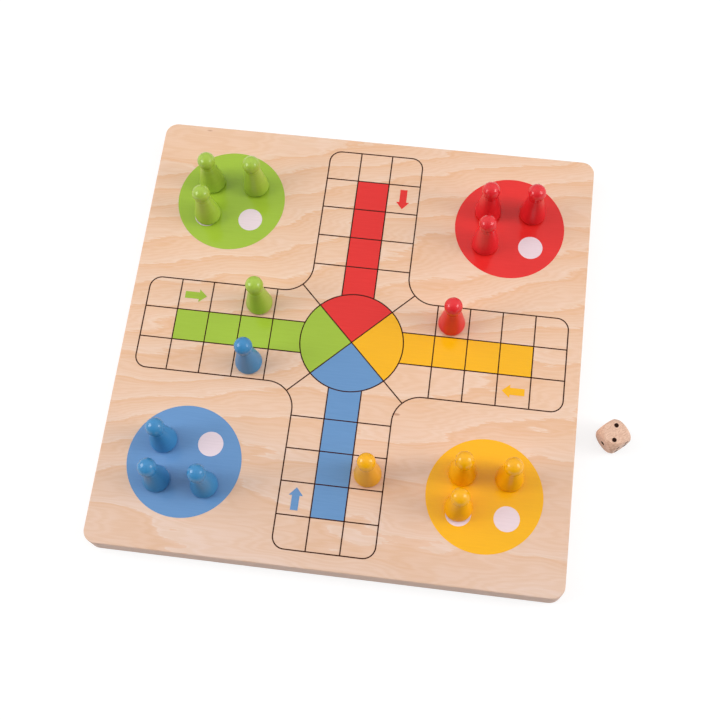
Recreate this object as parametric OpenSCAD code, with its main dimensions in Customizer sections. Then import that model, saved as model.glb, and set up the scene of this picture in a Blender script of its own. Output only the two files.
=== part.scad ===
// Ludo set laid out for play: a printed plywood board, turned wooden pawns and a wooden die.
// Millimetres, +Z up. The origin is the middle of the board's underside,
// +X runs to the right and +Y to the back.

/* [Board] */
// Side of the square board
board_side = 286; // [276:1:340]
// Thickness of the plywood
board_thickness = 16; // [8:0.5:22]
// Radius of the board's corners, seen from above
board_corner_radius = 8; // [4:0.5:14]
// Radius of the softened rims along the top and the underside
board_rim_radius = 0.8; // [0.4:0.1:3]

/* [Track] */
// Side of one track cell, between the middles of its lines
cell = 20.5; // [18.8:0.1:21.2]
// Rows of cells in each arm of the cross
arm_rows = 5; // [4:1:5]
// Width of the printed lines
line_width = 0.75; // [0.4:0.05:1.2]
// Radius of the outer corners at the end of each arm, at the middle of the line
arm_end_radius = 7.6; // [3:0.1:9]
// Radius of the hollow corners where two arms meet, at the middle of the line
arm_joint_radius = 17.5; // [8:0.1:18.8]
// Diameter of the round hub, at the middle of its ring
hub_diameter = 64.8; // [48:0.2:72]

/* [Home discs] */
// Diameter of the home discs
home_diameter = 70; // [58:0.5:76]
// Distance between the middles of the discs, left to right
home_spacing_x = 182; // [170:0.5:196]
// Distance between the middles of the discs, front to back
home_spacing_y = 177; // [168:0.5:192]
// How far the four discs are printed to the back of the cross
home_shift_y = 1; // [-2:0.1:2]
// Diameter of the white standing spots
spot_diameter = 15.5; // [12:0.1:18]
// Distance between the middles of the spots of one disc, left to right
spot_spacing_x = 28.7; // [24:0.1:32]
// Distance between the middles of the spots of one disc, front to back
spot_spacing_y = 24.7; // [21:0.1:29]

/* [Start arrows] */
// Length of an arrow from tail to tip
arrow_length = 14; // [10:0.1:16]
// Width of an arrow's shaft
arrow_shaft_width = 4.6; // [3:0.1:6]
// Width of an arrow's head across its barbs
arrow_head_width = 8.6; // [7:0.1:13]
// Length of an arrow's head
arrow_head_length = 5; // [3:0.1:7]

/* [Print] */
// Thickness of the printed ink films
ink_film = 0.1; // [0.05:0.01:0.2]
// How far the whole print lies to the right of the board's middle
print_shift_x = 0.5; // [-3:0.1:3]
// How far the whole print lies to the back of the board's middle
print_shift_y = 0.3; // [-3:0.1:3]

/* [Pawns] */
// Height of a pawn
pawn_height = 35.2; // [30:0.1:42]
// Diameter of a pawn's foot at its widest
pawn_foot_diameter = 16.8; // [15.6:0.1:17.6]
// Height of the foot's widest place
pawn_foot_height = 2.6; // [1.5:0.1:4]
// Diameter of the flat underside of the foot
pawn_base_diameter = 13.8; // [11:0.1:14]
// Diameter of the ball head
pawn_head_diameter = 11.2; // [10.2:0.1:13]
// Diameter of the neck under the head
pawn_neck_diameter = 8.4; // [7:0.1:9.8]
// Radius of the fine groove turned where the neck meets the head
neck_groove_radius = 0.2; // [0.1:0.05:0.4]

/* [Die] */
// Distance between opposite faces of the die
die_side = 16; // [14:0.5:18]
// Diameter of the ball that rounds the die's corners and edges
die_ball_diameter = 21; // [20:0.1:22.4]
// Diameter of a pip's dimple at the face
pip_diameter = 2.8; // [1.6:0.1:3.2]
// Depth of a pip's dimple
pip_depth = 0.5; // [0.3:0.1:0.8]
// Distance of the outer pips from the middle of a face, along each side
pip_offset = 3.3; // [2.8:0.1:3.8]
// Thickness of the paint in the dimples
pip_paint = 0.12; // [0.05:0.01:0.2]
// Clear distance between the board's right edge and the die
die_gap = 12; // [2:0.5:40]
// How far the die lies to the front of the board's middle
die_front = 39; // [0:0.1:100]
// Turn of the die on the table, in degrees
die_turn = 40; // [0:1:89]

/* [Hidden] */
$fn = 96;

// The teams in clockwise order, starting at the arm that points to the back
TEAMS = ["red", "yellow", "blue", "green"];
TEAM_COLOURS = ["#e23b3a", "#f5b52a", "#6c9ccd", "#9dc43c"];
PAWNS_PER_TEAM = 4;
// Cells side by side in each arm of the cross
ARM_COLUMNS = 3;
QUARTERS = [0:3];

// The four sides of a disc's middle that its spots lie on
BACK_LEFT = [-1, 1];
BACK_RIGHT = [1, 1];
FRONT_LEFT = [-1, -1];
FRONT_RIGHT = [1, -1];
SPOTS = [BACK_LEFT, BACK_RIGHT, FRONT_LEFT, FRONT_RIGHT];

// Spots that the first three pawns of each team stand on
TAKEN_SPOTS = [
    [BACK_LEFT, BACK_RIGHT, FRONT_LEFT],
    [BACK_LEFT, BACK_RIGHT, FRONT_LEFT],
    [BACK_LEFT, FRONT_LEFT, FRONT_RIGHT],
    [BACK_LEFT, BACK_RIGHT, FRONT_LEFT]
];
// How far each pawn was set down from the middle of its spot or cell
SET_DOWN = [
    [[-0.3, -2.5], [-0.6, -0.9], [-0.3, -0.8], [-0.8, -1.3]],
    [[0.1, -0.1], [-0.4, -0.4], [-0.3, 2.9], [0.1, -0.8]],
    [[0.1, -1.1], [0.0, -1.0], [0.6, -1.1], [-0.2, 0.0]],
    [[0.2, -1.0], [0.4, -0.6], [0.9, 0.5], [0.2, -1.0]]
];

// Count of pips on each face of the die and the turn that takes the top to that face
DIE_FACES = [
    [2, [0, 0, 0]],
    [5, [180, 0, 0]],
    [1, [0, -90, 0]],
    [6, [0, 90, 0]],
    [4, [90, 0, 0]],
    [3, [-90, 0, 0]]
];

// Middle of the print on the board, from which all that is printed is measured
print_middle = [print_shift_x, print_shift_y];
// Half the width of an arm and its reach from the print's middle, at the middle of the lines
arm_half_width = ARM_COLUMNS * cell / 2;
arm_reach = arm_half_width + arm_rows * cell;
// Track cell that the fourth pawn of each team stands on, from the print's middle
track_places = [[3, 1], [1, -4], [-3, -1], [-3, 1]] * cell;
// The coloured lanes leave the last cell of their arm bare
lane_end = arm_reach - cell;
hub_radius = hub_diameter / 2;
// The lines beside a lane start in the middle of the hub's ring
lane_line_start = sqrt(pow(hub_radius, 2) - pow(cell / 2, 2));
// The crossed lines of the hub end in the middle of the outline's hollow corners
hub_line_reach = sqrt(2) * (arm_half_width + arm_joint_radius) - arm_joint_radius;

// The ball head's middle and the height at which the neck runs into it
head_radius = pawn_head_diameter / 2;
head_middle = pawn_height - head_radius;
neck_radius = pawn_neck_diameter / 2;
neck_top = head_middle - sqrt(pow(head_radius, 2) - pow(neck_radius, 2));
// The round edge of the foot passes through its widest place and the rim of the flat underside
foot_radius = pawn_foot_diameter / 2;
base_radius = pawn_base_diameter / 2;
foot_overhang = foot_radius - base_radius;
foot_edge_radius = (pow(pawn_foot_height, 2) + pow(foot_overhang, 2)) / (2 * foot_overhang);
foot_edge_middle = [foot_radius - foot_edge_radius, pawn_foot_height];
// The straight side of the cone runs from the neck smoothly into the round edge of the foot
cone_run = [foot_edge_middle.x - neck_radius, neck_top - foot_edge_middle.y];
cone_lean = atan2(cone_run.x, cone_run.y) + asin(foot_edge_radius / norm(cone_run));
cone_end = foot_edge_middle + foot_edge_radius * [cos(cone_lean), sin(cone_lean)];

// Middle of the die on the table, and the ball that cuts its dimples
die_half_reach = die_side * (cos(die_turn) + sin(die_turn)) / 2;
die_middle = [board_side / 2 + die_gap + die_half_reach, -die_front, die_side / 2];
pip_ball_radius = (pow(pip_diameter / 2, 2) + pow(pip_depth, 2)) / (2 * pip_depth);

function print_name(team) = str(team, "_print");
function pawn_name(team, number) = str(team, "_pawn_", number);

// Middle of a team's home disc: the one clockwise from the team's arm
function home_middle(team) = [
    sign(cos(45 - 90 * team)) * home_spacing_x / 2,
    sign(sin(45 - 90 * team)) * home_spacing_y / 2 + home_shift_y
];
function spot_middle(team, spot) = home_middle(team)
    + [spot.x * spot_spacing_x / 2, spot.y * spot_spacing_y / 2];

// The last pawn of a team stands on bare wood in a track cell, the others on the ink of their spots
function on_track(number) = number == PAWNS_PER_TEAM;
function pawn_middle(team, number) = print_middle + SET_DOWN[team][number - 1]
    + (on_track(number) ? track_places[team] : spot_middle(team, TAKEN_SPOTS[team][number - 1]));
function pawn_floor(number) = board_thickness + (on_track(number) ? 0 : ink_film);

// Pip places on one face, in steps of pip_offset
function pip_places(count) = concat(
    count % 2 == 1 ? [[0, 0]] : [],
    count > 1 ? [[1, 1], [-1, -1]] : [],
    count > 3 ? [[1, -1], [-1, 1]] : [],
    count > 5 ? [[0, 1], [0, -1]] : []
);

// Rectangle with rounded corners about the origin
module rounded_rectangle(width, length, radius) {
    square([width - 2 * radius, length], center = true);
    square([width, length - 2 * radius], center = true);
    for (x = [-1, 1], y = [-1, 1])
        translate([x * (width / 2 - radius), y * (length / 2 - radius)]) circle(radius);
}

// Infill of a hollow corner at the origin, between +X and +Y
module hollow_corner(radius) {
    difference() {
        square(radius);
        translate([radius, radius]) circle(radius);
    }
}

// Section through the board's edge, from the start of a corner's round to the outer face
module edge_section() {
    flat = board_corner_radius - board_rim_radius;
    square([flat, board_thickness]);
    translate([0, board_rim_radius])
        square([board_corner_radius, board_thickness - 2 * board_rim_radius]);
    for (height = [board_rim_radius, board_thickness - board_rim_radius])
        translate([flat, height]) circle(board_rim_radius);
}

// Square plywood panel with rounded corners and soft rims
module board() {
    straight = board_side - 2 * board_corner_radius;
    color("#ecc8a8") {
        translate([-straight / 2, -straight / 2, 0])
            cube([straight, straight, board_thickness]);
        for (quarter = QUARTERS)
            rotate(90 * quarter) translate([straight / 2, straight / 2, 0]) {
                rotate_extrude(angle = 90) edge_section();
                rotate([90, 0, 0]) linear_extrude(straight) edge_section();
            }
    }
}

// Area of the cross, pulled in from the middle of its outline
module cross_area(inset) {
    half = arm_half_width - inset;
    for (turn = [0, 90])
        rotate(turn) rounded_rectangle(2 * half, 2 * (arm_reach - inset), arm_end_radius - inset);
    for (quarter = QUARTERS)
        rotate(90 * quarter) translate([half, half]) hollow_corner(arm_joint_radius + inset);
}

// All the dark lines, seen from above
module line_area() {
    half_line = line_width / 2;
    difference() {
        cross_area(-half_line);
        cross_area(half_line);
    }
    difference() {
        circle(hub_radius + half_line);
        circle(hub_radius - half_line);
    }
    for (turn = [-45, 45])
        rotate(turn) square([line_width, 2 * hub_line_reach], center = true);
    for (quarter = QUARTERS)
        rotate(90 * quarter) {
            for (row = [1:arm_rows - 1])
                translate([0, arm_half_width + row * cell])
                    square([2 * arm_half_width, line_width], center = true);
            for (side = [-1, 1])
                translate([side * cell / 2 - half_line, lane_line_start])
                    square([line_width, arm_reach - lane_line_start]);
        }
}

// Arrow about the origin that points to -Y
module arrow_area() {
    tail = arrow_length / 2;
    barb = arrow_head_length - tail;
    translate([-arrow_shaft_width / 2, barb]) square([arrow_shaft_width, tail - barb]);
    polygon([[0, -tail], [arrow_head_width / 2, barb], [-arrow_head_width / 2, barb]]);
}

// Standing spots of a team's home disc
module spot_area(team) {
    for (spot = SPOTS)
        translate(spot_middle(team, spot)) circle(d = spot_diameter);
}

// A film of ink on the board's top face
module ink() {
    translate([print_middle.x, print_middle.y, board_thickness])
        linear_extrude(ink_film) children();
}

// Cross outline, cell lines, hub ring and the hub's crossed lines
module track_lines() {
    color("#50372d") ink() line_area();
}

// Home disc, home lane, hub quarter and start arrow of one team
module team_print(team) {
    color(TEAM_COLOURS[team]) ink() {
        difference() {
            translate(home_middle(team)) circle(d = home_diameter);
            spot_area(team);
        }
        rotate(-90 * team) translate([cell, lane_end - cell / 2]) arrow_area();
        difference() {
            rotate(-90 * team) {
                translate([-cell / 2, cell]) square([cell, lane_end - cell]);
                intersection() {
                    circle(hub_radius);
                    polygon([[0, 0], [hub_diameter, hub_diameter], [-hub_diameter, hub_diameter]]);
                }
            }
            line_area();
        }
    }
}

// White standing spots of all the home discs
module white_spots() {
    color("#ecdce0") ink()
        for (team = QUARTERS) spot_area(team);
}

// Half section of a pawn, with its axis along Y
module pawn_section() {
    difference() {
        union() {
            intersection() {
                translate([0, head_middle]) circle(head_radius);
                translate([0, neck_top]) square([head_radius, pawn_height - neck_top]);
            }
            polygon([[0, 0], [base_radius, 0], cone_end, [neck_radius, neck_top], [0, neck_top]]);
            intersection() {
                translate(foot_edge_middle) circle(foot_edge_radius);
                square([foot_radius, neck_top]);
            }
        }
        translate([neck_radius, neck_top]) circle(neck_groove_radius);
    }
}

// One pawn, standing where it was set down
module pawn(team, number) {
    place = pawn_middle(team, number);
    color(TEAM_COLOURS[team])
        translate([place.x, place.y, pawn_floor(number)])
            rotate_extrude() pawn_section();
}

// Puts its children where the die lies
module on_die() {
    translate(die_middle) rotate(die_turn) children();
}

// Cube with its corners and edges turned off by a ball
module die_blank() {
    intersection() {
        cube(die_side, center = true);
        sphere(d = die_ball_diameter);
    }
}

// The balls that cut the dimples, lifted off the faces by a distance
module pip_balls(lift) {
    for (face = DIE_FACES)
        rotate(face[1])
            for (place = pip_places(face[0]) * pip_offset)
                translate([place.x, place.y, die_side / 2 - pip_depth + pip_ball_radius + lift])
                    sphere(pip_ball_radius);
}

// Wooden die with its dimples
module die() {
    color("#e2bfa0") on_die()
        difference() {
            die_blank();
            pip_balls(0);
        }
}

// Dark paint that lines the dimples
module die_pips() {
    color("#3a2b25") on_die()
        difference() {
            intersection() {
                die_blank();
                pip_balls(0);
            }
            pip_balls(pip_paint);
        }
}

board();
track_lines();
for (team = QUARTERS)
    team_print(team);
white_spots();
for (team = QUARTERS, number = [1:PAWNS_PER_TEAM])
    pawn(team, number);
die();
die_pips();
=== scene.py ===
# Looks of a wooden ludo set: a printed plywood board with turned pawns and a die
import math

import bpy
from mathutils import Euler, Matrix, Vector


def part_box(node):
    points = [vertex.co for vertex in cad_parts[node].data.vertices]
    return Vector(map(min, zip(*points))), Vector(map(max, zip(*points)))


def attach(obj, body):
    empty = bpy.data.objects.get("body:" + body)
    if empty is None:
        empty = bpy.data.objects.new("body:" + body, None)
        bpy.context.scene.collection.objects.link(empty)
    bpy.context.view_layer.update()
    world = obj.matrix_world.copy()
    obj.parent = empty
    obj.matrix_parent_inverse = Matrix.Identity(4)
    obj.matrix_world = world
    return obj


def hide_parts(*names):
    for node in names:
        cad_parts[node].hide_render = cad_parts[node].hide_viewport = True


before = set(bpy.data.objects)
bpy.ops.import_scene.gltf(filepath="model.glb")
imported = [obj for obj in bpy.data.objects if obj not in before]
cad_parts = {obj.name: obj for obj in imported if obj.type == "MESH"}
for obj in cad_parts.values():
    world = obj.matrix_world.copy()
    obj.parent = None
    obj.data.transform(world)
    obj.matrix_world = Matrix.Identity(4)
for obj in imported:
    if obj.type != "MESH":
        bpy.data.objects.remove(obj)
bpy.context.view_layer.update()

MM = 0.001
TEAMS = ("red", "yellow", "blue", "green")
PAWNS_PER_TEAM = 4

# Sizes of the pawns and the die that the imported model's boxes don't give, in millimetres and degrees
FOOT_HEIGHT = 2.6
BASE_DIAMETER = 13.8
HEAD_DIAMETER = 11.2
NECK_DIAMETER = 8.4
CREASE_RADIUS = 0.35
DIE_BALL_DIAMETER = 21.0
DIE_TURN = 40.0
PIP_DIAMETER = 2.8
PIP_DEPTH = 0.5
PIP_OFFSET = 3.3

# Softness of the seams between the die's ball and its faces, as a share of the distance from its middle
SEAM_SOFTNESS = 0.03

# Count of pips on each face of the die and the turn that takes the top to that face
DIE_FACES = (
    (2, (0, 0, 0)), (5, (180, 0, 0)), (1, (0, -90, 0)),
    (6, (0, 90, 0)), (4, (90, 0, 0)), (3, (-90, 0, 0)))

# Fineness of the meshes: points on a pawn's base as shares of its radius, steps along the rest of its
# outline, segments round it, the distance in millimetres below which its points are one, and points along an
# edge of the die
BASE_SHARES = (0, 0.5, 0.96)
FOOT_STEPS = 20
CONE_STEPS = 12
CREASE_STEPS = 6
HEAD_STEPS = 28
PAWN_SEGMENTS = 64
MERGE_DISTANCE = 0.005
DIE_POINTS = 73

# The board's growth rings: how many there are, the power by which they crowd toward the back, where the first
# one starts, in half depths of the board before its middle, and how they rise to the right, as a slope
RINGS_ACROSS = 15.0
RING_CROWDING = 1.5
FIRST_RING = 1.3
RING_LEAN_FRONT = -0.12
RING_LEAN_BACK = 0.28

# How far streaks in the wood shift the rings and the fine lines along them, and the lines' width, in rings
BROAD_SHIFT = 3.2
SMALL_SHIFT = 0.9
COMB_SHIFT_FRONT = 0.13
COMB_SHIFT_BACK = 0.4
LINE_SHIFT = 0.2
LINE_WIDTH = 0.07

# Where the calmer front of the board ends, from 0 at its front edge to 1 at its back edge
FRONT_END = 0.45
CALM_END = 0.5

# The board's sawn edge, in millimetres: the bow of its plies, and the depths between which the face ends
PLIES = 9
PLY_BOW = 0.6
FACE_DEPTH = 0.2
EDGE_DEPTH = 0.7

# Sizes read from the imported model, in metres
BOARD_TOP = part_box("board")[1].z
BOARD_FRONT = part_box("board")[0].y

# Colour of each team's ink and paint, and its slightly deeper shade
INKS = {
    "red": ("#e72b28", "#e32724"),
    "yellow": ("#fbb903", "#f7b401"),
    "blue": ("#6896c8", "#6492c4"),
    "green": ("#a3c239", "#9fbe35"),
}
ENAMELS = {
    "red": ("#ed2931", "#e8252d"),
    "yellow": ("#ffb703", "#fab202"),
    "blue": ("#408ec5", "#3c89c0"),
    "green": ("#acca48", "#a7c543"),
}

# Sockets of a colour mix, whose names the mix's other sockets share
COLOUR_A = 6
COLOUR_B = 7
COLOUR_MIXED = 2


def linear(hex_colour):
    """Linear RGBA of an sRGB hex colour."""
    parts = [int(hex_colour[i:i + 2], 16) / 255 for i in (1, 3, 5)]
    return (*[c / 12.92 if c <= 0.04045 else ((c + 0.055) / 1.055) ** 2.4 for c in parts], 1.0)


def grey(level):
    """Linear RGBA of a plain grey, given by its linear level."""
    return (level, level, level, 1.0)


def metres(*sizes):
    """Millimetres turned to metres."""
    return tuple(size * MM for size in sizes)


def add(tree, kind, inputs=None, stops=None, **settings):
    """Adds a node with its settings. Inputs maps a socket's name or number to a value or to an output."""
    made = tree.nodes.new(kind)
    for name, value in settings.items():
        setattr(made, name, value)
    for socket, value in (inputs or {}).items():
        if isinstance(value, bpy.types.NodeSocket):
            tree.links.new(value, made.inputs[socket])
        else:
            made.inputs[socket].default_value = value
    if stops:
        ramp = made.color_ramp
        while len(ramp.elements) < len(stops):
            ramp.elements.new(0.5)
        for element, (place, colour) in zip(ramp.elements, stops):
            element.position = place
            element.color = colour
    return made


def new_material(name):
    """An empty material, its node tree and its object coordinates."""
    material = bpy.data.materials.new(name)
    material.use_nodes = True
    tree = material.node_tree
    tree.nodes.clear()
    return material, tree, add(tree, "ShaderNodeTexCoord").outputs["Object"]


def close_material(tree, shader):
    """Links a shader to the material's output."""
    add(tree, "ShaderNodeOutputMaterial", {"Surface": shader.outputs[0]})


def streaks(tree, place, length, width, turn=0.0, roughness=0.6):
    """Output of a noise drawn out along the grain, with the streaks' length and width in millimetres."""
    stretched = add(tree, "ShaderNodeMapping", {
        "Vector": place, "Rotation": (0, 0, math.radians(turn)), "Scale": metres(length, width, width)},
        vector_type="TEXTURE")
    noise = add(tree, "ShaderNodeTexNoise", {
        "Vector": stretched.outputs[0], "Scale": 1.0, "Detail": 2.0, "Roughness": roughness})
    return noise.outputs[0]


# Rotary-cut basswood plywood, sanded and lacquered: flat-cut growth rings, each from pale to golden with a
# combed edge against the next, fine lines and fibres along them, and a few brown flecks. The rings rise to
# the right at the back, and fall a little and lie further apart at the front. The sawn edge is duller and
# shows the plies. The fibres are drawn coarser than real so that they show.
def lacquered_plywood():
    material, tree, place = new_material("lacquered_basswood_plywood")
    axes = add(tree, "ShaderNodeSeparateXYZ", {0: place})
    back = add(tree, "ShaderNodeMapRange", {
        "Value": axes.outputs["Y"], "From Min": BOARD_FRONT, "From Max": -BOARD_FRONT})

    # Growth rings
    lean = add(tree, "ShaderNodeMapRange", {
        "Value": back.outputs[0], "From Max": FRONT_END, "To Min": RING_LEAN_FRONT, "To Max": RING_LEAN_BACK})
    lift = add(tree, "ShaderNodeMath", {0: axes.outputs["X"], 1: lean.outputs[0]}, operation="MULTIPLY")
    level = add(tree, "ShaderNodeMath", {0: axes.outputs["Y"], 1: lift.outputs[0]}, operation="SUBTRACT")
    rise = add(tree, "ShaderNodeMapRange", {
        "Value": level.outputs[0], "From Min": BOARD_FRONT * FIRST_RING, "From Max": -BOARD_FRONT})
    spread = add(tree, "ShaderNodeMath", {0: rise.outputs[0], 1: RING_CROWDING}, operation="POWER")
    rings = add(tree, "ShaderNodeMath", {0: spread.outputs[0], 1: RINGS_ACROSS}, operation="MULTIPLY")
    swing = add(tree, "ShaderNodeMath", {
        0: streaks(tree, place, length=150, width=40, roughness=0.5), 1: BROAD_SHIFT, 2: rings.outputs[0]},
        operation="MULTIPLY_ADD")
    wave = add(tree, "ShaderNodeMath", {
        0: streaks(tree, place, length=60, width=16), 1: SMALL_SHIFT, 2: swing.outputs[0]},
        operation="MULTIPLY_ADD")
    combing = add(tree, "ShaderNodeMapRange", {
        "Value": back.outputs[0], "From Max": CALM_END,
        "To Min": COMB_SHIFT_FRONT, "To Max": COMB_SHIFT_BACK})
    combed = add(tree, "ShaderNodeMath", {
        0: streaks(tree, place, length=11, width=1.1), 1: combing.outputs[0], 2: wave.outputs[0]},
        operation="MULTIPLY_ADD")
    ring = add(tree, "ShaderNodeMath", {0: combed.outputs[0]}, operation="FRACT")
    bands = add(tree, "ShaderNodeValToRGB", {"Fac": ring.outputs[0]}, stops=[
        (0.0, linear("#f1cfb6")), (0.15, linear("#f0cbb0")), (0.35, linear("#efc7a9")),
        (0.70, linear("#eec4a4")), (0.90, linear("#ecbd98")), (1.0, linear("#edc09d"))])
    contrast = add(tree, "ShaderNodeMapRange", {
        "Value": back.outputs[0], "From Max": CALM_END, "To Min": 0.8, "To Max": 1.0})
    face = add(tree, "ShaderNodeMix", {
        "Factor": contrast.outputs[0], COLOUR_A: linear("#eec6a7"), COLOUR_B: bands.outputs[0]},
        data_type="RGBA")

    # Fine lines along the rings
    frayed = add(tree, "ShaderNodeMath", {
        0: streaks(tree, place, length=30, width=2), 1: LINE_SHIFT, 2: wave.outputs[0]},
        operation="MULTIPLY_ADD")
    line = add(tree, "ShaderNodeMath", {0: frayed.outputs[0], 1: LINE_WIDTH}, operation="PINGPONG")
    across_line = add(tree, "ShaderNodeMapRange", {"Value": line.outputs[0], "From Max": LINE_WIDTH})
    line_tone = add(tree, "ShaderNodeValToRGB", {"Fac": across_line.outputs[0]}, stops=[
        (0.2, (0.982, 0.962, 0.93, 1)), (0.8, (1.01, 1.023, 1.05, 1))])
    lined = add(tree, "ShaderNodeMix", {
        "Factor": 1.0, COLOUR_A: face.outputs[COLOUR_MIXED], COLOUR_B: line_tone.outputs[0]},
        data_type="RGBA", blend_type="MULTIPLY")

    # Fibres, and a greyer tone toward the front
    fibre_tone = add(tree, "ShaderNodeValToRGB", {"Fac": streaks(tree, place, length=28, width=1)}, stops=[
        (0.3, (0.985, 0.97, 0.95, 1)), (0.7, (1.005, 1.015, 1.03, 1))])
    grained = add(tree, "ShaderNodeMix", {
        "Factor": 1.0, COLOUR_A: lined.outputs[COLOUR_MIXED], COLOUR_B: fibre_tone.outputs[0]},
        data_type="RGBA", blend_type="MULTIPLY")
    front_tone = add(tree, "ShaderNodeValToRGB", {"Fac": back.outputs[0]}, stops=[
        (0.0, (0.92, 0.97, 1.07, 1)), (FRONT_END, grey(1.0))])
    toned = add(tree, "ShaderNodeMix", {
        "Factor": 1.0, COLOUR_A: grained.outputs[COLOUR_MIXED], COLOUR_B: front_tone.outputs[0]},
        data_type="RGBA", blend_type="MULTIPLY")

    # Small brown flecks: one in each block of 130 by 45 by 45 mm, which shows where it lies close to a face
    fleck_place = add(tree, "ShaderNodeMapping", {
        "Vector": place, "Scale": metres(130, 45, 45)}, vector_type="TEXTURE")
    blocks = add(tree, "ShaderNodeTexVoronoi", {"Vector": fleck_place.outputs[0], "Scale": 1.0})
    fleck = add(tree, "ShaderNodeMapRange", {
        "Value": blocks.outputs["Distance"], "From Min": 0.012, "From Max": 0.022,
        "To Min": 0.55, "To Max": 0.0})
    flecked = add(tree, "ShaderNodeMix", {
        "Factor": fleck.outputs[0], COLOUR_A: toned.outputs[COLOUR_MIXED], COLOUR_B: linear("#a8623a")},
        data_type="RGBA")

    # Sawn edge: plies of long grain and of end grain by turns
    ply_height = BOARD_TOP / PLIES
    bow = add(tree, "ShaderNodeMath", {
        0: streaks(tree, place, length=40, width=40), 1: PLY_BOW * MM, 2: axes.outputs["Z"]},
        operation="MULTIPLY_ADD")
    plies = add(tree, "ShaderNodeMath", {
        0: bow.outputs[0], 1: (ply_height - PLY_BOW * MM) / 2}, operation="ADD")
    ply_turn = add(tree, "ShaderNodeMath", {0: plies.outputs[0], 1: ply_height}, operation="PINGPONG")
    long_ply = add(tree, "ShaderNodeMapRange", {
        "Value": ply_turn.outputs[0], "From Min": 0.4 * ply_height, "From Max": 0.6 * ply_height})
    ply = add(tree, "ShaderNodeMix", {
        "Factor": long_ply.outputs[0], COLOUR_A: linear("#daae96"), COLOUR_B: linear("#f1c8b2")},
        data_type="RGBA")
    sawn = add(tree, "ShaderNodeMix", {
        "Factor": 1.0, COLOUR_A: ply.outputs[COLOUR_MIXED], COLOUR_B: fibre_tone.outputs[0]},
        data_type="RGBA", blend_type="MULTIPLY")

    # Faces and sawn edge together
    middle = BOARD_TOP / 2
    depth = add(tree, "ShaderNodeMath", {0: axes.outputs["Z"], 1: middle}, operation="SUBTRACT")
    from_middle = add(tree, "ShaderNodeMath", {0: depth.outputs[0]}, operation="ABSOLUTE")
    on_face = add(tree, "ShaderNodeMapRange", {
        "Value": from_middle.outputs[0],
        "From Min": middle - EDGE_DEPTH * MM, "From Max": middle - FACE_DEPTH * MM})
    wood = add(tree, "ShaderNodeMix", {
        "Factor": on_face.outputs[0], COLOUR_A: sawn.outputs[COLOUR_MIXED],
        COLOUR_B: flecked.outputs[COLOUR_MIXED]}, data_type="RGBA")
    dullness = add(tree, "ShaderNodeMapRange", {"Value": on_face.outputs[0], "To Min": 0.45, "To Max": 0.38})
    shader = add(tree, "ShaderNodeBsdfPrincipled", {
        "Base Color": wood.outputs[COLOUR_MIXED], "Roughness": dullness.outputs[0], "IOR": 1.45})
    close_material(tree, shader)
    return material


# Screen-printed ink under satin lacquer: an even colour that softly mirrors the pawns standing on it, with a
# trace of the wood's fibres, drawn coarser than real so that it shows. Line ink and pip paint are duller.
def screen_ink(name, colour, shade, roughness=0.15, sheen=0.5):
    material, tree, place = new_material(name)
    tone = add(tree, "ShaderNodeValToRGB", {"Fac": streaks(tree, place, length=16, width=0.8)}, stops=[
        (0.3, linear(shade)), (0.7, linear(colour))])
    shader = add(tree, "ShaderNodeBsdfPrincipled", {
        "Base Color": tone.outputs[0], "Roughness": roughness, "IOR": 1.42, "Specular IOR Level": sheen})
    close_material(tree, shader)
    return material


# Sprayed enamel on turned wood: a deep even colour, a head with small bright highlights, and a duller cone.
# Faint rings from the lathe are drawn 0.9 mm wide, coarser than real, so that they show.
def turned_enamel(name, colour, shade, neck):
    material, tree, place = new_material(name)
    ring_place = add(tree, "ShaderNodeMapping", {
        "Vector": place, "Scale": metres(60, 60, 0.9)}, vector_type="TEXTURE")
    rings = add(tree, "ShaderNodeTexNoise", {
        "Vector": ring_place.outputs[0], "Scale": 1.0, "Detail": 1.0, "Roughness": 0.5})
    tone = add(tree, "ShaderNodeValToRGB", {"Fac": rings.outputs[0]}, stops=[
        (0.3, linear(shade)), (0.7, linear(colour))])
    marks = add(tree, "ShaderNodeBump", {
        "Strength": 0.25, "Distance": 0.03 * MM, "Height": rings.outputs[0]})
    axes = add(tree, "ShaderNodeSeparateXYZ", {0: place})
    dullness = add(tree, "ShaderNodeMapRange", {
        "Value": axes.outputs["Z"], "From Min": neck - MM, "From Max": neck + MM,
        "To Min": 0.34, "To Max": 0.14})
    shader = add(tree, "ShaderNodeBsdfPrincipled", {
        "Base Color": tone.outputs[0], "Roughness": dullness.outputs[0], "IOR": 1.48,
        "Normal": marks.outputs[0]})
    close_material(tree, shader)
    return material


# Sanded beech: pale pinkish tan with short brown flecks along the grain, drawn wider than real so that they
# show
def sanded_beech():
    material, tree, place = new_material("sanded_beech")
    flecks = streaks(tree, place, length=1.6, width=0.7, turn=DIE_TURN)
    tone = add(tree, "ShaderNodeValToRGB", {"Fac": flecks}, stops=[
        (0.3, linear("#d4a68c")), (0.7, linear("#f2cdb5"))])
    shader = add(tree, "ShaderNodeBsdfPrincipled", {
        "Base Color": tone.outputs[0], "Roughness": 0.5, "IOR": 1.45})
    close_material(tree, shader)
    return material


def seen_ray(tree):
    """Output that is 1 for rays that show the background: to the camera, in gloss and through glass."""
    path = add(tree, "ShaderNodeLightPath")
    seen = add(tree, "ShaderNodeMath", {
        0: path.outputs["Is Camera Ray"], 1: path.outputs["Is Glossy Ray"]}, operation="MAXIMUM")
    either = add(tree, "ShaderNodeMath", {
        0: seen.outputs[0], 1: path.outputs["Is Transmission Ray"]}, operation="MAXIMUM")
    return either.outputs[0]


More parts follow.
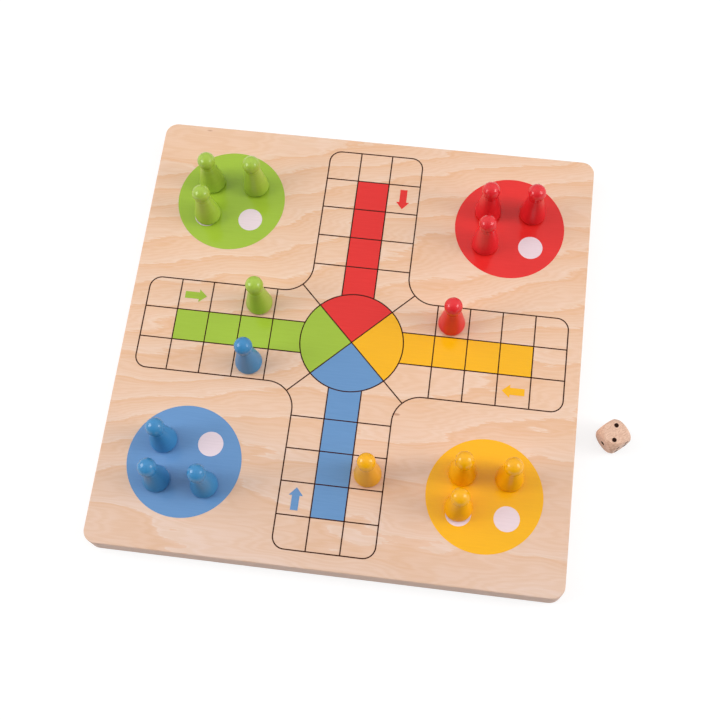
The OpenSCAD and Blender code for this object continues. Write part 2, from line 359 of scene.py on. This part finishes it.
# Plain pale floor: white to the camera and to gloss, still keeping the object's soft shadow
def pale_floor():
    material, tree, _ = new_material("pale_floor")
    shadow = add(tree, "ShaderNodeBsdfDiffuse", {"Color": grey(0.3)})
    glow = add(tree, "ShaderNodeEmission", {"Color": grey(1.0), "Strength": 0.75})
    white = add(tree, "ShaderNodeAddShader", {0: shadow.outputs[0], 1: glow.outputs[0]})
    bounce = add(tree, "ShaderNodeBsdfDiffuse", {"Color": grey(0.6)})
    floor = add(tree, "ShaderNodeMixShader", {
        0: seen_ray(tree), 1: bounce.outputs[0], 2: white.outputs[0]})
    close_material(tree, floor)
    return material


def new_tree(name, inputs):
    """A geometry node tree with named inputs and one geometry output."""
    tree = bpy.data.node_groups.new(name, "GeometryNodeTree")
    for label, kind in inputs.items():
        tree.interface.new_socket(label, in_out="INPUT", socket_type="NodeSocket" + kind)
    tree.interface.new_socket("Geometry", in_out="OUTPUT", socket_type="NodeSocketGeometry")
    return tree, add(tree, "NodeGroupInput").outputs


def close_tree(tree, geometry, given, material):
    """Ends a tree in real, smooth, painted geometry."""
    smooth = add(tree, "GeometryNodeSetShadeSmooth", {"Geometry": geometry})
    real = add(tree, "GeometryNodeRealizeInstances", {"Geometry": smooth.outputs[0]})
    painted = add(tree, "GeometryNodeSetMaterial", {"Geometry": real.outputs[0], "Material": given[material]})
    add(tree, "NodeGroupOutput", {0: painted.outputs[0]})


def grow(name, tree, points, values):
    """Runs a tree on points and gives the result as an object with a plain mesh."""
    seed = bpy.data.meshes.new(name + "_points")
    seed.from_pydata(points, [], [])
    piece = bpy.data.objects.new(name, seed)
    bpy.context.scene.collection.objects.link(piece)
    modifier = piece.modifiers.new(name, "NODES")
    modifier.node_group = tree
    for socket in tree.interface.items_tree:
        if socket.in_out == "INPUT" and socket.name in values:
            modifier[socket.identifier] = values[socket.name]
    graph = bpy.context.evaluated_depsgraph_get()
    mesh = bpy.data.meshes.new_from_object(piece.evaluated_get(graph))
    mesh.name = name
    piece.modifiers.remove(modifier)
    piece.data = mesh
    bpy.data.meshes.remove(seed)
    return piece


def turned_pawn_tree():
    """Turns an outline of points in the XZ plane about Z and puts the result in its place."""
    tree, given = new_tree("turned_pawn", {
        "Outline": "Geometry", "Segments": "Int", "Place": "Vector", "Paint": "Material"})
    points = add(tree, "GeometryNodeAttributeDomainSize", {0: given["Outline"]}, component="MESH")
    columns = add(tree, "ShaderNodeMath", {0: given["Segments"], 1: 1.0}, operation="ADD")
    sheet = add(tree, "GeometryNodeMeshGrid", {
        "Size X": 1.0, "Size Y": 1.0, "Vertices X": columns.outputs[0], "Vertices Y": points.outputs[0]})
    on_sheet = add(tree, "GeometryNodeInputPosition")
    across = add(tree, "ShaderNodeSeparateXYZ", {0: on_sheet.outputs[0]})
    turn = add(tree, "ShaderNodeMath", {0: across.outputs["X"], 1: math.tau}, operation="MULTIPLY")
    up = add(tree, "ShaderNodeMath", {0: across.outputs["Y"], 1: 0.5}, operation="ADD")
    last = add(tree, "ShaderNodeMath", {0: points.outputs[0], 1: 1.0}, operation="SUBTRACT")
    row = add(tree, "ShaderNodeMath", {0: up.outputs[0], 1: last.outputs[0]}, operation="MULTIPLY")
    whole = add(tree, "ShaderNodeMath", {0: row.outputs[0]}, operation="ROUND")
    outline = add(tree, "GeometryNodeInputPosition")
    on_outline = add(tree, "GeometryNodeSampleIndex", {
        "Geometry": given["Outline"], "Value": outline.outputs[0], "Index": whole.outputs[0]},
        data_type="FLOAT_VECTOR", domain="POINT")
    turned = add(tree, "ShaderNodeVectorRotate", {
        "Vector": on_outline.outputs[0], "Angle": turn.outputs[0]}, rotation_type="Z_AXIS")
    placed = add(tree, "ShaderNodeVectorMath", {0: turned.outputs[0], 1: given["Place"]}, operation="ADD")
    shell = add(tree, "GeometryNodeSetPosition", {
        "Geometry": sheet.outputs[0], "Position": placed.outputs[0]})
    closed = add(tree, "GeometryNodeMergeByDistance", {
        "Geometry": shell.outputs[0], "Distance": MERGE_DISTANCE * MM})
    close_tree(tree, closed.outputs[0], given, "Paint")
    return tree


def arc(middle, radius, start, end, steps):
    """Points on an arc from start to end, angles in radians from the outward direction."""
    turns = [start + (end - start) * step / steps for step in range(steps + 1)]
    return [middle + radius * Vector((math.cos(turn), math.sin(turn))) for turn in turns]


def angle(step):
    """Angle of a step in the outline's plane."""
    return math.atan2(step.y, step.x)


def pawn_outline(foot_radius, height):
    """Outline of a pawn from the middle of its base to its top, as distance from the axis and height."""
    base_radius = BASE_DIAMETER / 2
    head_radius = HEAD_DIAMETER / 2
    neck_radius = NECK_DIAMETER / 2
    head = Vector((0, height - head_radius))
    neck = Vector((neck_radius, head.y - math.sqrt(head_radius ** 2 - neck_radius ** 2)))
    # The foot's rounded edge starts at the base's rim and runs smoothly into the cone
    overhang = foot_radius - base_radius
    edge_radius = (FOOT_HEIGHT ** 2 + overhang ** 2) / (2 * overhang)
    edge = Vector((foot_radius - edge_radius, FOOT_HEIGHT))
    rise = neck - edge
    lean = math.asin(edge_radius / rise.length) - math.atan2(rise.x, rise.y)
    cone_foot = edge + edge_radius * Vector((math.cos(lean), math.sin(lean)))
    along = (neck - cone_foot).normalized()
    out = Vector((along.y, -along.x))
    # The paint fills the crease under the head with a small hollow that touches the cone and the ball
    offset = neck + CREASE_RADIUS * out - head
    middle = offset.dot(along)
    slide = -middle - math.sqrt(middle ** 2 - offset.length_squared + (head_radius + CREASE_RADIUS) ** 2)
    crease = neck + CREASE_RADIUS * out + slide * along
    crease_low = angle(-out) % math.tau
    crease_high = angle(head - crease) % math.tau
    base_rim = Vector((base_radius, 0))
    base = [base_rim * share for share in BASE_SHARES]
    foot = arc(edge, edge_radius, angle(base_rim - edge), lean, FOOT_STEPS)
    cone_top = crease - CREASE_RADIUS * out
    cone = [cone_foot.lerp(cone_top, step / CONE_STEPS) for step in range(1, CONE_STEPS)]
    hollow = arc(crease, CREASE_RADIUS, crease_low, crease_high, CREASE_STEPS)
    ball = arc(head, head_radius, angle(crease - head), math.pi / 2, HEAD_STEPS)[1:]
    ball[-1].x = 0
    return base + foot + cone + hollow + ball


def ball_cornered_die_tree():
    """Rounds a cube by a ball, with soft seams, and sinks a dimple at every pip point."""
    tree, given = new_tree("ball_cornered_die", {
        "Pips": "Geometry", "Side": "Float", "Ball Radius": "Float", "Seam Softness": "Float",
        "Pip Ball Radius": "Float", "Pip Depth": "Float", "Edge Points": "Int", "Turn": "Float",
        "Place": "Vector", "Wood": "Material"})
    size = add(tree, "ShaderNodeCombineXYZ", {0: given["Side"], 1: given["Side"], 2: given["Side"]})
    cube = add(tree, "GeometryNodeMeshCube", {
        "Size": size.outputs[0], "Vertices X": given["Edge Points"], "Vertices Y": given["Edge Points"],
        "Vertices Z": given["Edge Points"]})
    place = add(tree, "GeometryNodeInputPosition")
    reach = add(tree, "ShaderNodeVectorMath", {0: place.outputs[0]}, operation="LENGTH")
    to_ball = add(tree, "ShaderNodeMath", {
        0: given["Ball Radius"], 1: reach.outputs["Value"]}, operation="DIVIDE")
    shrink = add(tree, "ShaderNodeMath", {
        0: to_ball.outputs[0], 1: 1.0, 2: given["Seam Softness"]}, operation="SMOOTH_MIN")
    rounded = add(tree, "ShaderNodeVectorMath", {
        0: place.outputs[0], "Scale": shrink.outputs[0]}, operation="SCALE")
    pip = add(tree, "GeometryNodeProximity", {
        0: given["Pips"], "Sample Position": rounded.outputs[0]}, target_element="POINTS")
    squared = add(tree, "ShaderNodeMath", {0: pip.outputs["Distance"], 1: 2.0}, operation="POWER")
    ball_squared = add(tree, "ShaderNodeMath", {0: given["Pip Ball Radius"], 1: 2.0}, operation="POWER")
    under = add(tree, "ShaderNodeMath", {
        0: ball_squared.outputs[0], 1: squared.outputs[0]}, operation="SUBTRACT")
    drop = add(tree, "ShaderNodeMath", {0: under.outputs[0]}, operation="SQRT")
    above = add(tree, "ShaderNodeMath", {
        0: given["Pip Ball Radius"], 1: given["Pip Depth"]}, operation="SUBTRACT")
    sunk = add(tree, "ShaderNodeMath", {0: above.outputs[0], 1: drop.outputs[0]}, operation="SUBTRACT")
    dimple = add(tree, "ShaderNodeMath", {0: sunk.outputs[0], 1: 0.0}, operation="MINIMUM")
    normal = add(tree, "GeometryNodeInputNormal")
    inward = add(tree, "ShaderNodeVectorMath", {
        0: normal.outputs[0], "Scale": dimple.outputs[0]}, operation="SCALE")
    drilled = add(tree, "ShaderNodeVectorMath", {
        0: rounded.outputs[0], 1: inward.outputs[0]}, operation="ADD")
    turned = add(tree, "ShaderNodeVectorRotate", {
        "Vector": drilled.outputs[0], "Angle": given["Turn"]}, rotation_type="Z_AXIS")
    placed = add(tree, "ShaderNodeVectorMath", {0: turned.outputs[0], 1: given["Place"]}, operation="ADD")
    shaped = add(tree, "GeometryNodeSetPosition", {
        "Geometry": cube.outputs[0], "Position": placed.outputs[0]})
    close_tree(tree, shaped.outputs[0], given, "Wood")
    return tree


def pip_places(count):
    """Pip places on one face, in steps of the pip offset."""
    places = [(0, 0)] if count % 2 else []
    if count > 1:
        places += [(1, 1), (-1, -1)]
    if count > 3:
        places += [(1, -1), (-1, 1)]
    if count > 5:
        places += [(0, 1), (0, -1)]
    return places


def dress(node, material):
    """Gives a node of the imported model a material."""
    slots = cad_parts[node].data.materials
    slots.clear()
    slots.append(material)


def stand_in(piece, node):
    """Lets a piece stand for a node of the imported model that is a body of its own."""
    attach(piece, node)
    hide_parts(node)


# Board, prints and pip paint
dress("board", lacquered_plywood())
dress("track_lines", screen_ink("dark_brown_line_ink", "#3c1405", "#361103", roughness=0.5, sheen=0.2))
dress("white_spots", screen_ink("white_spot_ink", "#efdbe2", "#ead6dd"))
dress("die_pips", screen_ink("dark_pip_paint", "#2f1509", "#281107", roughness=0.7, sheen=0.2))
for team in TEAMS:
    dress(f"{team}_print", screen_ink(f"{team}_screen_ink", *INKS[team]))

# Pawns
pawn_tree = turned_pawn_tree()
glossy_pawns = bpy.data.collections.new("glossy_pawns")
for team in TEAMS:
    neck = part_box(f"{team}_pawn_1")[1].z - HEAD_DIAMETER * MM
    enamel = turned_enamel(f"{team}_turned_enamel", *ENAMELS[team], neck)
    for number in range(1, PAWNS_PER_TEAM + 1):
        node = f"{team}_pawn_{number}"
        low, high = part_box(node)
        outline = pawn_outline((high.x - low.x) / 2 / MM, (high.z - low.z) / MM)
        pawn = grow(f"turned_{node}", pawn_tree, [metres(x, 0, z) for x, z in outline], {
            "Segments": PAWN_SEGMENTS, "Paint": enamel,
            "Place": ((low.x + high.x) / 2, (low.y + high.y) / 2, low.z)})
        stand_in(pawn, node)
        glossy_pawns.objects.link(pawn)

# Die
die_low, die_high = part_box("die")
die_side = die_high.z - die_low.z
pips = []
for count, turns in DIE_FACES:
    face_turn = Euler([math.radians(turn) for turn in turns]).to_matrix()
    for x, y in pip_places(count):
        pips.append(face_turn @ Vector((x * PIP_OFFSET * MM, y * PIP_OFFSET * MM, die_side / 2)))
die = grow("rounded_wooden_die", ball_cornered_die_tree(), pips, {
    "Side": die_side, "Ball Radius": DIE_BALL_DIAMETER / 2 * MM, "Seam Softness": SEAM_SOFTNESS,
    "Pip Ball Radius": ((PIP_DIAMETER / 2) ** 2 + PIP_DEPTH ** 2) / (2 * PIP_DEPTH) * MM,
    "Pip Depth": PIP_DEPTH * MM, "Edge Points": DIE_POINTS, "Turn": math.radians(DIE_TURN),
    "Place": (die_low + die_high) / 2, "Wood": sanded_beech()})
stand_in(die, "die")

# Floor
FLOOR_HALF = 3.0
floor_corners = [(x * FLOOR_HALF, y * FLOOR_HALF, 0) for x, y in ((-1, -1), (1, -1), (1, 1), (-1, 1))]
floor_mesh = bpy.data.meshes.new("floor")
floor_mesh.from_pydata(floor_corners, [], [(0, 1, 2, 3)])
floor_mesh.materials.append(pale_floor())
floor = bpy.data.objects.new("floor", floor_mesh)
bpy.context.scene.collection.objects.link(floor)

# Camera at the photograph's place, in millimetres in the board's frame
CAMERA_PLACE = Vector((61.2, -249.5, 698.7)) * MM
CAMERA_AIM = Vector((7.23, -10.57, 16.0)) * MM
CAMERA_ROLL = math.radians(-5.78)
LENS_MM = 58.38
camera_data = bpy.data.cameras.new("camera")
camera_data.lens = LENS_MM
camera = bpy.data.objects.new("camera", camera_data)
aim = (CAMERA_AIM - CAMERA_PLACE).to_track_quat("-Z", "Y").to_matrix().to_4x4()
camera.matrix_world = Matrix.Translation(CAMERA_PLACE) @ aim @ Matrix.Rotation(CAMERA_ROLL, 4, "Z")
bpy.context.scene.collection.objects.link(camera)
bpy.context.scene.camera = camera


def softbox(name, place, side, power, glints_on=None):
    """Square lamp at a place in millimetres that faces the board's middle. It lights everything softly, or
    only makes glints on the pieces of a collection."""
    lamp = bpy.data.lights.new(name, "AREA")
    lamp.energy = power
    lamp.size = side * MM
    made = bpy.data.objects.new(name, lamp)
    away = Vector(metres(*place))
    made.matrix_world = Matrix.Translation(away) @ away.to_track_quat("Z", "Y").to_matrix().to_4x4()
    made.visible_camera = False
    made.visible_diffuse = glints_on is None
    made.visible_glossy = glints_on is not None
    made.light_linking.receiver_collection = glints_on
    bpy.context.scene.collection.objects.link(made)


softbox("left_softbox", place=(-850, -260, 650), side=350, power=2.4)
softbox("right_softbox", place=(960, -20, 530), side=350, power=2.2)
softbox("left_glint", place=(-350, -60, 250), side=200, power=0.65, glints_on=glossy_pawns)
softbox("right_glint", place=(413, 0, 310), side=220, power=0.68, glints_on=glossy_pawns)

# Studio light, by directions of length 1: the shape and strength of the bank of light, how much brighter it
# and the walls get to the sides, and the height from which the walls dim to a share of that at the horizon
BANK_SQUEEZE = (0.3, 1.0, 0.0)
BANK_SHIFT = (0.0, -0.08, 0.0)
BANK_INNER = 0.34
BANK_OUTER = 0.52
BANK_LIGHT = 1.39
BANK_DARK = 0.015
SIDE_GAIN = 0.6
WALL_HEIGHT = 0.6
HORIZON_SHARE = 0.45


def studio():
    """World with a broad bank of light from the left over the top to the right. The camera sees white, and
    gloss sees walls that are dim at the front, bright at the back and the sides, and dimmer to the horizon."""
    world = bpy.data.worlds.new("studio")
    world.use_nodes = True
    tree = world.node_tree
    tree.nodes.clear()
    around = add(tree, "ShaderNodeTexCoord").outputs["Generated"]
    axes = add(tree, "ShaderNodeSeparateXYZ", {0: around})
    sideways = add(tree, "ShaderNodeMath", {0: axes.outputs["X"], 1: axes.outputs["X"]}, operation="MULTIPLY")

    # The light itself
    across = add(tree, "ShaderNodeVectorMath", {
        0: around, 1: BANK_SQUEEZE, 2: BANK_SHIFT}, operation="MULTIPLY_ADD")
    off_bank = add(tree, "ShaderNodeVectorMath", {0: across.outputs[0]}, operation="LENGTH")
    bank = add(tree, "ShaderNodeMapRange", {
        "Value": off_bank.outputs["Value"], "From Min": BANK_INNER, "From Max": BANK_OUTER,
        "To Min": BANK_LIGHT, "To Max": BANK_DARK})
    brighter = add(tree, "ShaderNodeMath", {
        0: sideways.outputs[0], 1: SIDE_GAIN, 2: 1.0}, operation="MULTIPLY_ADD")
    lit = add(tree, "ShaderNodeMath", {0: bank.outputs[0], 1: brighter.outputs[0]}, operation="MULTIPLY")

    # What gloss and the camera see
    backward = add(tree, "ShaderNodeMapRange", {
        "Value": axes.outputs["Y"], "From Min": -1.0, "From Max": 1.0})
    walls = add(tree, "ShaderNodeValToRGB", {"Fac": backward.outputs[0]}, stops=[
        (0.0, grey(0.1)), (0.33, grey(0.5)), (0.67, grey(0.95)), (0.82, grey(1.0))])
    horizon = add(tree, "ShaderNodeMapRange", {
        "Value": axes.outputs["Z"], "From Max": WALL_HEIGHT, "To Min": HORIZON_SHARE})
    dimmed = add(tree, "ShaderNodeMath", {0: walls.outputs[0], 1: horizon.outputs[0]}, operation="MULTIPLY")
    sides = add(tree, "ShaderNodeMath", {
        0: sideways.outputs[0], 1: SIDE_GAIN, 2: dimmed.outputs[0]}, operation="MULTIPLY_ADD")
    camera_ray = add(tree, "ShaderNodeLightPath").outputs["Is Camera Ray"]
    shown = add(tree, "ShaderNodeMix", {"Factor": camera_ray, "A": sides.outputs[0], "B": 1.0})
    light = add(tree, "ShaderNodeMix", {"Factor": seen_ray(tree), "A": lit.outputs[0], "B": shown.outputs[0]})
    sky = add(tree, "ShaderNodeBackground", {"Color": grey(1.0), "Strength": light.outputs[0]})
    add(tree, "ShaderNodeOutputWorld", {"Surface": sky.outputs[0]})
    return world


bpy.context.scene.world = studio()
bpy.context.scene.view_settings.view_transform = "Standard"
